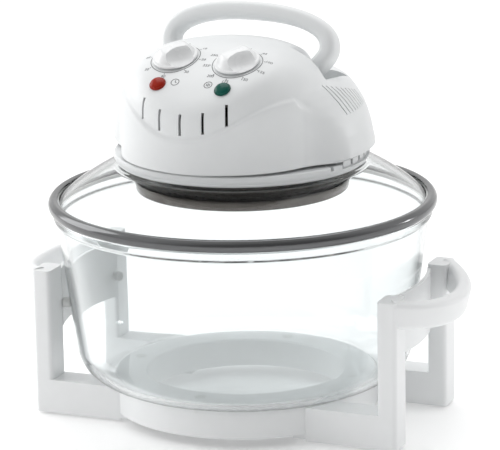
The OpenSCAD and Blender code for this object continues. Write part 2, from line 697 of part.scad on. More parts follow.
module motor_plate() {
  color([0.66, 0.67, 0.68]) on_lid() difference() {
    rotate_extrude($fn = 96)
      polygon([[shaft_r + 1.5, plate_z], [plate_r, plate_z], [plate_r, plate_z + 4],
        [plate_r - plate_t, plate_z + 4], [plate_r - plate_t, plate_z + plate_t],
        [shaft_r + 1.5, plate_z + plate_t]]);
    for (a = [45:90:315]) rotate([0, 0, a]) translate([motor_post, 0, plate_z - 2])
      cylinder(r = 1.6, h = 6, $fn = 20);
  }
}
module motor_bracket() {
  color([0.6, 0.61, 0.62]) on_lid() {
    for (a = [45:90:315]) rotate([0, 0, a]) translate([motor_post, 0, plate_z + plate_t])
      cylinder(r = 3.5, h = motor_z - plate_z - plate_t, $fn = 24);
    difference() {
      union() {
        for (a = [45:90:315]) rotate([0, 0, a]) translate([0, -5, motor_z - 1.6])
          cube([motor_post + 4, 10, 1.6]);
        translate([0, 0, motor_z - 1.6]) cylinder(r = 12, h = 1.6, $fn = 32);
      }
      translate([0, 0, motor_z - 5]) cylinder(r = shaft_r + 1, h = 10, $fn = 32);
    }
  }
}
module motor_stator() {
  color([0.55, 0.42, 0.3]) on_lid() difference() {
    translate([-motor_w / 2, -motor_w / 2, motor_z + 0.02]) cube([motor_w, motor_w, motor_t]);
    translate([0, 0, motor_z - 1]) cylinder(r = 16.5, h = motor_t + 2, $fn = 48);
    for (a = [0:90:270]) rotate([0, 0, a]) translate([21, -9, motor_z - 1]) cube([5, 18, motor_t + 2]);
  }
}
module motor_rotor() {
  color([0.7, 0.68, 0.66]) on_lid() ring(15.8, shaft_r + 0.02, motor_z + 0.5, motor_z + motor_t - 0.5);
}
module drive_shaft() {
  color(steel) on_lid() translate([0, 0, fan_z - 1])
    cylinder(r = shaft_r, h = motor_z + motor_t + 8 - fan_z, $fn = 32);
}
module fan_hub_blades(count, r, hub, z, height, pitch) {
  for (i = [0:count - 1]) rotate([0, 0, i * 360 / count])
    translate([hub - 1, 0, z + height / 2]) rotate([pitch, 0, 0])
      translate([0, -height / 2, -0.5]) cube([r - hub + 1, height, 1]);
}
module convection_fan() {
  color(steel) on_lid() {
    difference() {
      union() {
        translate([0, 0, fan_z]) cylinder(r = 11, h = 7.5, $fn = 40);
        fan_hub_blades(fan_blades, fan_r, 11, fan_z, 8, 42);
      }
      translate([0, 0, fan_z - 5]) cylinder(r = shaft_r + 0.02, h = 20, $fn = 32);
    }
  }
}
module cooling_fan() {
  color([0.2, 0.2, 0.2]) on_lid() {
    difference() {
      union() {
        translate([0, 0, cooling_z]) cylinder(r = 11, h = 9, $fn = 40);
        fan_hub_blades(7, motor_post - 5, 11, cooling_z, 8, 45);
      }
      translate([0, 0, cooling_z - 5]) cylinder(r = shaft_r + 0.02, h = 20, $fn = 32);
    }
  }
}
module thermal_cutout() {
  color([0.85, 0.8, 0.6]) on_lid() translate([-58, 30, plate_z + plate_t + 0.02]) {
    cylinder(r = 7, h = 5, $fn = 32);
    translate([-12, -3.5, 0]) cube([24, 7, 1.2]);
    for (s = [-1, 1]) translate([s * 3.4, -0.4, 5]) cube([2.6, 0.8, 6]);
  }
}

// Controls
module mechanical_timer() {
  color([0.82, 0.82, 0.8]) on_lid() on_panel(-knob_x, knob_slope) difference() {
    union() {
      translate([-17, -17, -case_t - body_drop - 24]) cube([34, 34, 24]);
      translate([0, 0, -case_t - body_drop - 0.1]) cylinder(r = 6, h = body_drop - 0.1, $fn = 32);
    }
    translate([0, 0, -case_t - 16]) cylinder(r = 3.05, h = 40, $fn = 32);
  }
}
module thermostat() {
  color([0.7, 0.62, 0.45]) on_lid() on_panel(knob_x, knob_slope) difference() {
    union() {
      translate([0, 0, -case_t - body_drop - 17]) cylinder(r = 16, h = 17, $fn = 48);
      translate([0, 0, -case_t - body_drop - 0.1]) cylinder(r = 6, h = body_drop - 0.1, $fn = 32);
      translate([-13, -4, -case_t - body_drop - 24]) cube([26, 8, 7.5]);
    }
    translate([0, 0, -case_t - 16]) cylinder(r = 3.05, h = 40, $fn = 32);
  }
}
module spindle() {
  translate([0, 0, -case_t - 13]) cylinder(r = 3, h = case_t + 13 + 9, $fn = 32);
}
module timer_spindle() { color(steel) on_lid() on_panel(-knob_x, knob_slope) spindle(); }
module thermostat_spindle() { color(steel) on_lid() on_panel(knob_x, knob_slope) spindle(); }
// Round skirt with a raised grip bar that runs across it
module knob(turn) {
  lift = 0.5;
  rotate([0, 0, turn]) difference() {
    union() {
      translate([0, 0, lift]) cylinder(r1 = knob_r, r2 = knob_r - 0.6, h = 2.4, $fn = 64);
      hull() for (s = [-1, 1]) {
        translate([0, s * (knob_r - 6.5), lift]) cylinder(r = 5.5, h = 2, $fn = 32);
        translate([0, s * (knob_r - 6), lift + knob_h - 1.5])
          cylinder(r1 = 3.4, r2 = 2.4, h = 1.5, $fn = 32);
      }
      intersection() {
        translate([0, 0, lift]) cylinder(r1 = knob_r - 1, r2 = 6, h = knob_h - 2, $fn = 64);
        translate([-8, -knob_r, lift]) cube([16, 2 * knob_r, 7]);
      }
    }
    translate([0, 0, lift - 1]) cylinder(r = 3.02, h = 10.1 - lift, $fn = 32);
  }
}
module timer_knob() { color(white) on_lid() on_panel(-knob_x, knob_slope) knob(knob_turn); }
module temperature_knob() { color(white) on_lid() on_panel(knob_x, knob_slope) knob(knob_turn); }
module lens() {
  difference() {
    union() {
      translate([0, 0, 0.05]) cylinder(r = lamp_r, h = 0.75, $fn = 48);
      translate([0, 0, -8.5]) cylinder(r = lamp_r - 1.3, h = 8.6, $fn = 48);
      translate([0, 0, 0.75]) rotate_extrude($fn = 48)
        polygon(concat([[0, 0]], arc(0, 0, lamp_r - 0.6, 0, 90, 6) * [[1, 0], [0, 0.42]]));
    }
    translate([0, 0, -20]) cylinder(r = lamp_r - 2.6, h = 19, $fn = 32);
  }
}
module power_lamp_lens() { color([0.72, 0.16, 0.06]) on_lid() on_panel(-lamp_x, lamp_slope) lens(); }
module heat_lamp_lens() { color([0.02, 0.4, 0.34]) on_lid() on_panel(lamp_x, lamp_slope) lens(); }
module lamp_holders() {
  color([0.9, 0.9, 0.88]) on_lid() for (x = [-lamp_x, lamp_x]) on_panel(x, lamp_slope) {
    translate([0, 0, -7]) cylinder(r = 3, h = 4, $fn = 24);
    translate([0, 0, -16]) cylinder(r = lamp_r - 1.3, h = 7.45, $fn = 32);
    translate([0, 0, -9]) cylinder(r = 3, h = 3, $fn = 24);
  }
}

// Carry handle, in the plane of its two pivots
function bail_x_at(h) = pivot_x + (bail_x - pivot_x) * smooth(h / (bail_h * 0.48));
function bail_point(t) = let (hs = bail_h * 0.48, e = 2 / 2.3)
  t <= 1 ? [bail_x_at(hs * t), hs * t]
  : let (u = 90 * (t - 1)) [bail_x * pow(max(0, cos(u)), e), hs + (bail_h - hs) * pow(sin(u), e)];
function unit(v) = v / norm(v);
module bail_bar() {
  half = 18;
  sides = 12;
  right = [for (i = [0:half]) bail_point(2 * i / half)];
  path = concat(right, [for (i = [half - 1:-1:0]) [-right[i][0], right[i][1]]]);
  m = len(path);
  dirs = [for (i = [0:m - 1]) unit(path[min(m - 1, i + 1)] - path[max(0, i - 1)])];
  pts = [for (i = [0:m - 1], j = [0:sides - 1])
    let (a = 360 * j / sides, c = bail_t / 2 * cos(a), s = bail_d / 2 * sin(a))
      [path[i][0] + dirs[i][1] * c, s, path[i][1] - dirs[i][0] * c]];
  function at(i, j) = i * sides + (j % sides);
  polyhedron(points = pts, faces = concat(
    [[for (j = [0:sides - 1]) at(0, j)]],
    [[for (j = [sides - 1:-1:0]) at(m - 1, j)]],
    [for (i = [0:m - 2], j = [0:sides - 1]) [at(i, j), at(i + 1, j), at(i + 1, j + 1)]],
    [for (i = [0:m - 2], j = [0:sides - 1]) [at(i, j), at(i + 1, j + 1), at(i, j + 1)]]),
    convexity = 6);
}
module carry_handle() {
  color(white) on_lid() translate([0, pivot_y, pivot_z]) difference() {
    union() {
      rotate([-bail_lean, 0, 0]) bail_bar();
      both_x() translate([pivot_x - bail_t / 2, 0, 0]) rotate([0, 90, 0])
        cylinder(r = boss_r, h = bail_t, $fn = 48);
      // Cam that works the safety switch
      translate([pivot_x - 3, 0, 0]) rotate([45, 0, 0]) translate([0, 0, -6.5]) rotate([0, 90, 0])
        cylinder(r = 5, h = 6, $fn = 32);
    }
    both_x() translate([pivot_x - 20, 0, 0]) rotate([0, 90, 0])
      cylinder(r = pin_r + 0.05, h = 40, $fn = 32);
  }
}
module handle_pins() {
  head_x = min(well_in, pocket_x) - case_t - 0.1;
  color(steel) on_lid() both_x() translate([head_x, pivot_y, pivot_z]) rotate([0, 90, 0]) {
    cylinder(r = pin_r, h = well_out + case_t - head_x, $fn = 32);
    translate([0, 0, -1.5]) cylinder(r = 4, h = 1.5, $fn = 32);
  }
}
switch_top = pivot_z - well_r - case_t - 1.5;
module safety_switch() {
  color([0.15, 0.15, 0.15]) on_lid() translate([pivot_x, pivot_y, switch_top]) difference() {
    union() {
      translate([-5, -10, -16]) cube([10, 20, 16]);
      for (y = [-7, 7]) translate([-0.5, y - 2, -22]) cube([1, 4, 6]);
      for (y = [-8.5, 8.5]) translate([-5, y - 1.5, 0]) cube([10, 3, 1.45]);
    }
    translate([0, 0, -8]) cylinder(r = 2.1, h = 20, $fn = 24);
  }
}
module switch_plunger() {
  color([0.7, 0.1, 0.1]) on_lid() translate([pivot_x, pivot_y, switch_top])
    translate([0, 0, -4]) cylinder(r = 2, h = pivot_z - boss_r - 0.45 - switch_top + 4, $fn = 24);
}
module terminal_block() {
  color([0.9, 0.9, 0.86]) on_lid() translate([-14, 62, plate_z + plate_t + 0.02]) difference() {
    cube([28, 12, 14]);
    for (x = [5.5, 14, 22.5]) translate([x, -1, 8]) rotate([-90, 0, 0]) cylinder(r = 2, h = 14, $fn = 24);
  }
}
module cord_gland() {
  color([0.9, 0.9, 0.9]) on_lid() at_inlet() difference() {
    union() {
      translate([0, 0, -7]) cylinder(r = 5.4, h = 9, $fn = 32);
      translate([0, 0, -7]) cylinder(r = 7.4, h = 7 - case_t - 0.7, $fn = 32);
      translate([0, 0, 0.3]) cylinder(r = 8, h = 2.3, $fn = 32);
      translate([0, 0, 2.6]) cylinder(r1 = 8, r2 = 5.6, h = 3, $fn = 32);
    }
    translate([0, 0, -20]) cylinder(r = 3.4, h = 40, $fn = 32);
  }
}

base_ring();
left_handle_frame();
right_handle_frame();
bowl_seat_pads();
bowl_bumpers();
rubber_feet();
frame_screws();
glass_bowl();
lid_glass();
rim_band();
rim_seal();
collar_gasket();
collar_housing();
clamp_ring();
clamp_screws();
upper_housing();
housing_screws();
perforated_guard();
pan_ring();
fan_grille();
reflector_pan();
halogen_tube();
tube_holders();
insulation_disc();
motor_plate();
motor_stator();
motor_bracket();
thermal_cutout();
convection_fan();
drive_shaft();
motor_rotor();
cooling_fan();
mechanical_timer();
thermostat();
timer_spindle();
thermostat_spindle();
timer_knob();
temperature_knob();
power_lamp_lens();
heat_lamp_lens();
lamp_holders();
carry_handle();
handle_pins();
safety_switch();
switch_plunger();
terminal_block();
cord_gland();
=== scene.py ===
"""Halogen oven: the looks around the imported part. Front towards -Y, grips along X.

Pieces are typed in millimetres and multiplied by MM where a mesh is made. The camera, the floor
and the lamps are in metres, as Blender is.
"""

import json
import math

import bmesh
import bpy
import numpy as np
from mathutils import Matrix, Vector
from mathutils.bvhtree import BVHTree


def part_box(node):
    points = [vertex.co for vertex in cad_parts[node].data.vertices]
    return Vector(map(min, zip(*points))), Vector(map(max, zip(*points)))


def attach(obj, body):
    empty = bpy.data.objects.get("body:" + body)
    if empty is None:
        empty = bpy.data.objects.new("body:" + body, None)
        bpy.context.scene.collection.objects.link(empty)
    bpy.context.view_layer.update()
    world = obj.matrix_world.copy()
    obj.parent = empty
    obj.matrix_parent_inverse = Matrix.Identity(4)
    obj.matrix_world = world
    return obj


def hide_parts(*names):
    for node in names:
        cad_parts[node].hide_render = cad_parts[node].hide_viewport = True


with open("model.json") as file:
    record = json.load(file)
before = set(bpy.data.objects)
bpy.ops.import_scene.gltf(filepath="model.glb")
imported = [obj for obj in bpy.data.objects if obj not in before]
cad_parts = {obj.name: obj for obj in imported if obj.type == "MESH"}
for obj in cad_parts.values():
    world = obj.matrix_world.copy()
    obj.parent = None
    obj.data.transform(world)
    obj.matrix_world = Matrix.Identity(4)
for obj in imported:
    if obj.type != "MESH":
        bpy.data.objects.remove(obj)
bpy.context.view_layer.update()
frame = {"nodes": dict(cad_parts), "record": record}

MM = 0.001
LID_TURN = Matrix.Rotation(math.radians(-4), 4, "Z")


def low(node, axis=2):
    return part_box(node)[0][axis] / MM


def high(node, axis=2):
    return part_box(node)[1][axis] / MM


# Heights and radii in millimetres, in the frame of the part
BOWL_Z, BOWL_TOP, BEAD_R = low("glass_bowl"), high("glass_bowl"), high("glass_bowl", 0)
BOWL_R, BOWL_CORNER, BOWL_GLASS, BOWL_TAPER = BEAD_R - 3, 32, 5, 13
BAND_Z, BAND_TOP, BAND_R = low("rim_band"), high("rim_band"), high("rim_band", 0)
LID_Z, LID_TOP, LID_GLASS = low("lid_glass"), high("lid_glass"), 4.5
COLLAR_Z = LID_TOP + 0.8
OPENING_R, LID_FLAT_R = 97, 106
PAN_Z, PAN_TOP, PAN_R = low("pan_ring"), high("pan_ring"), high("pan_ring", 0) - 0.3
CASE_Z = COLLAR_Z + 11.5
CONSOLE_TOP, SHOULDER_Z = CASE_Z + 94, CASE_Z + 61
DRUM_Y, PANEL_Y, PANEL_R = 25, -12, 135
DOME_R, DOME_Z, DOME_POWER, SKIRT_OUT = 86.9, CASE_Z + 38.5, 2.7, 2.6
WALL = 2.6
KNOB_X, KNOB_Y, KNOB_R, KNOB_H, KNOB_TURN = 28.4, 62, 19, 11.2, -38
LAMP_X, LAMP_Y, LAMP_R = 29.6, 92, 7
PIVOT_X, PIVOT_Y, PIVOT_Z = 60, 10, SHOULDER_Z - 2.6
BAIL_H, BAIL_X, BAIL_T, BAIL_D, BAIL_LEAN = 54.3, 74, 15, 20, 20
WELL_R, WELL_GAP, WELL_UP = 12.5, 1.2, 60
FOLD_X, FOLD_OUT, FOLD_Y, FOLD_BACK, FOLD_DOWN = 51, 80, -2.5, 42, 9
BOSS_R, PIN_HOLE_R, CAM_R, CAM_REACH = 9.5, 2.55, 5, 6.5
SPINDLE_HOLE_R, SPINDLE_BORE_R, INLET_R = 4.2, 3.02, 5.6
CUT_REACH = 20
MERGE_DISTANCE = 1e-6


# Camera
CAMERA_AT = (0.951952, -2.278937, 0.803564)
CAMERA_FORWARD = (-0.370933, 0.893907, -0.251672)
CAMERA_RIGHT = (0.925171, 0.379178, -0.016798)
SENSOR_WIDTH, FOCAL_LENGTH = 36.0, 216.07


def aim_camera():
    """The photograph's long lens, from the right of the front and a little above."""
    forward, right = Vector(CAMERA_FORWARD).normalized(), Vector(CAMERA_RIGHT).normalized()
    up = right.cross(forward)
    data = bpy.data.cameras.new("photo_camera")
    data.sensor_width, data.lens = SENSOR_WIDTH, FOCAL_LENGTH
    data.clip_start, data.clip_end = 0.05, 50
    camera = bpy.data.objects.new("photo_camera", data)
    turn = Matrix((right, up, -forward)).transposed().to_4x4()
    camera.matrix_world = Matrix.Translation(CAMERA_AT) @ turn
    bpy.context.collection.objects.link(camera)
    bpy.context.scene.camera = camera


# Materials
def finish(name, colour, rough, metal=0.0, **extra):
    """A surface whose constants sit on the shader's own sockets."""
    m = bpy.data.materials.new(name)
    m.use_nodes = True
    shader = m.node_tree.nodes["Principled BSDF"]
    shader.inputs["Base Color"].default_value = (*colour, 1)
    shader.inputs["Roughness"].default_value = rough
    shader.inputs["Metallic"].default_value = metal
    for key, value in extra.items():
        shader.inputs[key.replace("_", " ")].default_value = value
    return m


def object_noise(m, scale, detail=3.0, stretch=(1, 1, 1), rough=0.55):
    """Noise over the object's own coordinates; stretch squeezes it along an axis."""
    nodes, links = m.node_tree.nodes, m.node_tree.links
    where = nodes.new("ShaderNodeTexCoord")
    place = nodes.new("ShaderNodeMapping")
    place.inputs["Scale"].default_value = stretch
    noise = nodes.new("ShaderNodeTexNoise")
    noise.inputs["Scale"].default_value = scale
    noise.inputs["Detail"].default_value = detail
    noise.inputs["Roughness"].default_value = rough
    links.new(where.outputs["Object"], place.inputs["Vector"])
    links.new(place.outputs["Vector"], noise.inputs["Vector"])
    return noise


def vary_roughness(m, noise, smooth, coarse):
    """Spreads the roughness between two values by the noise."""
    spread = m.node_tree.nodes.new("ShaderNodeMapRange")
    spread.inputs["From Min"].default_value = 0.3
    spread.inputs["From Max"].default_value = 0.7
    spread.inputs["To Min"].default_value = smooth
    spread.inputs["To Max"].default_value = coarse
    m.node_tree.links.new(noise.outputs["Fac"], spread.inputs["Value"])
    m.node_tree.links.new(spread.outputs["Result"], m.node_tree.nodes["Principled BSDF"].inputs["Roughness"])


def two_colours(nodes, first, first_at, second, second_at):
    """A ramp from one colour to another."""
    ramp = nodes.new("ShaderNodeValToRGB")
    start, end = ramp.color_ramp.elements
    start.position, start.color = first_at, (*first, 1)
    end.position, end.color = second_at, (*second, 1)
    return ramp


def vary_colour(m, noise, dark, light):
    """Lets the colour drift between two shades by the noise."""
    ramp = two_colours(m.node_tree.nodes, dark, 0.35, light, 0.65)
    m.node_tree.links.new(noise.outputs["Fac"], ramp.inputs["Fac"])
    m.node_tree.links.new(ramp.outputs["Color"], m.node_tree.nodes["Principled BSDF"].inputs["Base Color"])


def bump(m, noise, strength, depth):
    """A fine relief from the noise."""
    relief = m.node_tree.nodes.new("ShaderNodeBump")
    relief.inputs["Strength"].default_value = strength
    relief.inputs["Distance"].default_value = depth
    m.node_tree.links.new(noise.outputs["Fac"], relief.inputs["Height"])
    m.node_tree.links.new(relief.outputs["Normal"], m.node_tree.nodes["Principled BSDF"].inputs["Normal"])


def plastic(name, colour, rough=0.3, coat=0.25, grain=0.02, **extra):
    """Moulded plastic: a faint skin of flow marks, and gloss that changes a little over it."""
    m = finish(name, colour, rough, Coat_Weight=coat, Coat_Roughness=0.12, IOR=1.49, **extra)
    vary_roughness(m, object_noise(m, 40, 3), rough * 0.92, rough * 1.1)
    vary_colour(m, object_noise(m, 60, 4), [c * 0.985 for c in colour], colour)
    bump(m, object_noise(m, 420, 2), grain, 0.0004)
    return m


def rolled_steel(name, colour, rough, stretch=(1, 1, 12), scale=160):
    """Sheet steel with the fine lines of its rolling."""
    m = finish(name, colour, rough, 1.0)
    lines = object_noise(m, scale, 4, stretch)
    vary_roughness(m, lines, rough * 0.7, rough * 1.4)
    vary_colour(m, object_noise(m, scale * 0.4, 3, stretch), [c * 0.84 for c in colour], colour)
    bump(m, lines, 0.04, 0.0003)
    return m


def glass(name, colour, edge, ior=1.47, **extra):
    """Clear glass: it darkens where it is seen edge on, and lets the lamps' light through."""
    m = finish(name, colour, 0.0, Transmission_Weight=1.0, IOR=ior, **extra)
    bump(m, object_noise(m, 16, 1), 0.006, 0.002)
    nodes, links = m.node_tree.nodes, m.node_tree.links
    shader = nodes["Principled BSDF"]
    facing, tint = nodes.new("ShaderNodeLayerWeight"), two_colours(nodes, colour, 0.72, edge, 0.97)
    facing.inputs["Blend"].default_value = 0.5
    links.new(facing.outputs["Facing"], tint.inputs["Fac"])
    links.new(tint.outputs["Color"], shader.inputs["Base Color"])
    rays, through = nodes.new("ShaderNodeLightPath"), nodes.new("ShaderNodeBsdfTransparent")
    mix = nodes.new("ShaderNodeMixShader")
    through.inputs["Color"].default_value = (0.97, 0.975, 0.975, 1)
    links.new(rays.outputs["Is Shadow Ray"], mix.inputs["Fac"])
    links.new(shader.outputs["BSDF"], mix.inputs[1])
    links.new(through.outputs["BSDF"], mix.inputs[2])
    links.new(mix.outputs["Shader"], nodes["Material Output"].inputs["Surface"])
    return m


WHITE = plastic("cool_white_plastic", (0.77, 0.785, 0.79), 0.38, 0.06)
KNOB_WHITE = plastic("knob_plastic", (0.80, 0.81, 0.815), 0.26, 0.2)
STAND_WHITE = plastic("stand_plastic", (0.87, 0.88, 0.885), 0.38, 0.06)
CLEAR = glass("tempered_bowl_glass", (0.89, 0.912, 0.915), (0.10, 0.12, 0.12))
LID_CLEAR = glass("tempered_lid_glass", (0.955, 0.965, 0.965), (0.2, 0.22, 0.22), 1.2,
                  Specular_IOR_Level=0.25)
QUARTZ = glass("quartz_tube", (0.96, 0.95, 0.92), (0.5, 0.47, 0.42))
BAND = rolled_steel("rim_band_steel", (0.15, 0.152, 0.155), 0.16, (1, 1, 22))
# The pan ring's dark base colour is painted shade and painted dark reflection, for the shade under the head
PAN = rolled_steel("pan_steel_painted_shade", (0.10, 0.09, 0.082), 0.14, (1, 1, 14))
# The guard's near black base colour is painted shade, for the shade inside the head
GUARD = rolled_steel("guard_steel_painted_shade", (0.022, 0.019, 0.017), 0.3, (1, 1, 4))
STEEL = rolled_steel("plain_steel", (0.60, 0.61, 0.62), 0.3)
CHROME = rolled_steel("plated_wire", (0.75, 0.75, 0.76), 0.12, (1, 1, 1), 90)
ALUMINIUM = rolled_steel("heat_tinted_sheet", (0.40, 0.38, 0.35), 0.2, (1, 1, 1), 60)
SILICONE = plastic("silicone", (0.70, 0.71, 0.70), 0.5, 0.0, 0.05)
RUBBER = plastic("dark_rubber", (0.025, 0.025, 0.027), 0.6, 0.0, 0.08)
CERAMIC = plastic("ceramic", (0.75, 0.72, 0.66), 0.55, 0.0, 0.1)
FIBRE = plastic("mineral_fibre", (0.62, 0.58, 0.50), 0.9, 0.0, 0.5)
STACK = rolled_steel("lamination_stack", (0.30, 0.27, 0.24), 0.45, (1, 1, 60))
BLACK = plastic("black_plastic", (0.02, 0.02, 0.022), 0.42, 0.0, 0.05)
RED = plastic("red_plastic", (0.45, 0.02, 0.015), 0.4, 0.0)
BEIGE = plastic("beige_plastic", (0.66, 0.62, 0.54), 0.45, 0.0)
PASSIVATED = rolled_steel("passivated_sheet", (0.52, 0.45, 0.28), 0.35)
RED_LENS = plastic("red_lens", (0.30, 0.012, 0.0015), 0.12, 0.0, 0.0, Specular_IOR_Level=0.22)
GREEN_LENS = plastic("green_lens", (0.0, 0.075, 0.055), 0.12, 0.0, 0.0, Specular_IOR_Level=0.22)
PRINT = plastic("grey_print", (0.13, 0.135, 0.14), 0.5, 0.0, 0.0)

LOOK = {
    "white_plastic": WHITE, "knob_plastic": KNOB_WHITE, "clear_glass": CLEAR, "band_steel": BAND,
    "dark_steel": PAN, "bright_steel": STEEL, "chrome_wire": CHROME, "reflector": ALUMINIUM,
    "silicone": SILICONE, "dark_rubber": RUBBER, "quartz": QUARTZ, "ceramic": CERAMIC,
    "mineral_fibre": FIBRE, "lamination": STACK, "black_plastic": BLACK, "red_plastic": RED,
    "beige_plastic": BEIGE, "brass_steel": PASSIVATED, "red_lens": RED_LENS, "green_lens": GREEN_LENS,
}
SLOT_OF = {s["node"]: s["material_slot"] for s in frame["record"]["subparts"]}
BODY_OF = {n: b for b, ns in frame["record"]["behaviour"]["bodies"].items() for n in ns}


# Making pieces
def part_edges(bm, degrees):
    """Soft faces that split at the mesh's hard edges."""
    for f in bm.faces:
        f.smooth = True
    for e in bm.edges:
        e.smooth = not (len(e.link_faces) == 2 and e.calc_face_angle(0) > math.radians(degrees))


def blank(name, bm, degrees=35):
    """Makes a piece of a finished mesh, without finish or body yet."""
    part_edges(bm, degrees)
    mesh = bpy.data.meshes.new(name)
    bm.to_mesh(mesh)
    bm.free()
    thing = bpy.data.objects.new(name, mesh)
    bpy.context.collection.objects.link(thing)
    return thing


STOOD_FOR = set()


def dress(thing, node, material=None, stands_for=True):
    """Gives a piece its finish, its body and the node that it stands for."""
    thing.data.materials.clear()
    thing.data.materials.append(material or LOOK[SLOT_OF[node]])
    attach(thing, BODY_OF[node])
    if stands_for:
        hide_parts(node)
        STOOD_FOR.add(node)
    return thing


def soften(piece, width, segments=2, angle=30):
    """Rounds the hard edges, with the flat faces' shading kept."""
    rounding = piece.modifiers.new("soft_edges", "BEVEL")
    rounding.width, rounding.segments = width * MM, segments
    rounding.limit_method, rounding.angle_limit = "ANGLE", math.radians(angle)
    rounding.harden_normals = True


def merged_copy(node):
    """A node's mesh with its loose triangles joined and its flat faces whole."""
    bm = bmesh.new()
    bm.from_mesh(frame["nodes"][node].data)
    bmesh.ops.remove_doubles(bm, verts=bm.verts, dist=MERGE_DISTANCE)
    bmesh.ops.dissolve_limit(bm, angle_limit=math.radians(0.6), verts=bm.verts, edges=bm.edges)
    return bm


def filleted(outline, closed=True, steps=8):
    """Rounds the corners of an outline of (radius, height, fillet) with true arcs."""
    points = []
    for i, (x, y, r) in enumerate(outline):
        corner = Vector((x, y))
        if r == 0 or (not closed and i in (0, len(outline) - 1)):
            points.append(corner)
            continue
        before = Vector(outline[i - 1][:2]) - corner
        after = Vector(outline[(i + 1) % len(outline)][:2]) - corner
        half = before.angle(after) / 2
        cut = min(r / math.tan(half), before.length * 0.49, after.length * 0.49)
        start, end = corner + before.normalized() * cut, corner + after.normalized() * cut
        for k in range(steps + 1):
            t = k / steps
            a, b, c = (1 - t) ** 2, 2 * math.sin(half) * t * (1 - t), t * t
            points.append((start * a + corner * b + end * c) / (a + b + c))
    return points


def turned(points, closed=True, steps=192):
    """Spins an outline round the upright axis. An open one starts and ends on the axis."""
    bm = bmesh.new()
    verts = [bm.verts.new((p[0] * MM, 0, p[1] * MM)) for p in points]
    pairs = list(zip(verts, verts[1:])) + ([(verts[-1], verts[0])] if closed else [])
    edges = [bm.edges.new(pair) for pair in pairs]
    bmesh.ops.spin(bm, geom=verts + edges, cent=(0, 0, 0), axis=(0, 0, 1), dvec=(0, 0, 0),
                   angle=math.tau, steps=steps, use_merge=True)
    bmesh.ops.remove_doubles(bm, verts=bm.verts, dist=MERGE_DISTANCE)
    bmesh.ops.recalc_face_normals(bm, faces=bm.faces)
    return bm


def combine(base, tools, operation="DIFFERENCE"):
    """Adds closed solids to a closed solid, or cuts them from it."""
    for tool in tools:
        step = base.modifiers.new(tool.name, "BOOLEAN")
        step.operation, step.solver, step.object = operation, "MANIFOLD", tool
    graph = bpy.context.evaluated_depsgraph_get()
    made = bpy.data.meshes.new_from_object(base.evaluated_get(graph))
    base.modifiers.clear()
    base.data = made
    for tool in tools:
        bpy.data.objects.remove(tool)


def split_again(piece, degrees, place):
    """Cleans a combined mesh, puts it in its place and marks its hard edges."""
    bm = bmesh.new()
    bm.from_mesh(piece.data)
    bmesh.ops.remove_doubles(bm, verts=bm.verts, dist=MERGE_DISTANCE)
    bmesh.ops.transform(bm, matrix=place, verts=bm.verts)
    part_edges(bm, degrees)
    bm.to_mesh(piece.data)
    bm.free()


def block(x0, x1, y0, y1, z0, z1, place=Matrix()):
    """A closed box in millimetres."""
    bm = bmesh.new()
    size = Matrix.Diagonal((x1 - x0, y1 - y0, z1 - z0, 1))
    middle = Matrix.Translation(((x0 + x1) / 2, (y0 + y1) / 2, (z0 + z1) / 2))
    bmesh.ops.create_cube(bm, size=1, matrix=Matrix.Scale(MM, 4) @ place @ middle @ size)
    return blank("block", bm)


def rod(radius, z0, z1, place=Matrix(), segments=48):
    """A closed cylinder along its own Z, in millimetres."""
    bm = bmesh.new()
    middle = Matrix.Translation((0, 0, (z0 + z1) / 2))
    bmesh.ops.create_cone(bm, cap_ends=True, segments=segments, radius1=radius, radius2=radius,
                          depth=z1 - z0, matrix=Matrix.Scale(MM, 4) @ place @ middle)
    return blank("rod", bm)


def on_panel(x, depth):
    """The place on the curved panel at x, depth in front of the lid's axis, before the lid's turn."""
    slope = math.asin((depth + PANEL_Y) / PANEL_R)
    at = (x, PANEL_Y - PANEL_R * math.sin(slope), CONSOLE_TOP - PANEL_R + PANEL_R * math.cos(slope))
    return Matrix.Translation(at) @ Matrix.Rotation(slope, 4, "X")


def panel_to_part(x, depth):
    """Carries a mesh drawn in metres round the origin to its place on the panel."""
    return LID_TURN @ Matrix.Scale(MM, 4) @ on_panel(x, depth) @ Matrix.Scale(1 / MM, 4)


# Upper housing
# The rear shoulder as (height over the case's foot, radius), and how high the skirt may reach,
# as (y, height over the case's foot), from front to back
SHOULDER = ((0, 108.5), (2.5, 113), (5, 112.8), (11, 111.5), (20, 109.8), (29.3, 107.2),
            (38.4, 103.5), (47, 98.5), (54.3, 93), (58.9, 88), (61, 84), (70, 70))
RIDGE_FALL = ((-170, 117.2), (-62, 63), (-58, 54.6), (-53, 50.8), (-49, 46), (-44, 41.4),
              (-39, 36.5), (-33.5, 29.8), (-28, 21), (-23.5, 11), (-21, 1), (10, -110))
CREST_FRONT, CREST_RISE, CREST_X, CREST_POWER = 27.5, 29.5, 78, 1.25
SIDE_CUT_X, SIDE_CUT_Y = (86, 109.6, 110), (-48, -27.3, -27.3)
DOME_DEPTH, FALL_SLOPE, SIDE_SLOPE = 72, 0.7, 0.75
PANEL_BLEND, POCKET_BLEND, CREST_BLEND, FALL_BLEND = 6, 5, 3, 5
SHOULDER_BLEND, SIDE_BLEND, SKIRT_BLEND, REAR_BLEND = 7, 6, 2.5, 7
CAST_FAR, CAST_NEAR, CAST_Y, COARSE_STEPS, FINE_STEPS = 126.0, 66.0, -6.0, 30, 12


def soft_max(a, b, k):
    """The larger of two fields, rounded over where they come within k of each other."""
    near = np.maximum(k - np.abs(a - b), 0) / k
    return np.maximum(a, b) + near * near * k / 4


def soft_min(a, b, k):
    return -soft_max(-a, -b, k)


def dome(r, z, grow):
    """An upright wall that rounds over into a flat crown."""
    over = np.maximum(z - DOME_Z, 0) / (CONSOLE_TOP - DOME_Z + grow)
    round_over = ((r / (DOME_R + grow)) ** DOME_POWER + over ** DOME_POWER) ** (1 / DOME_POWER)
    return (round_over - 1) * DOME_DEPTH


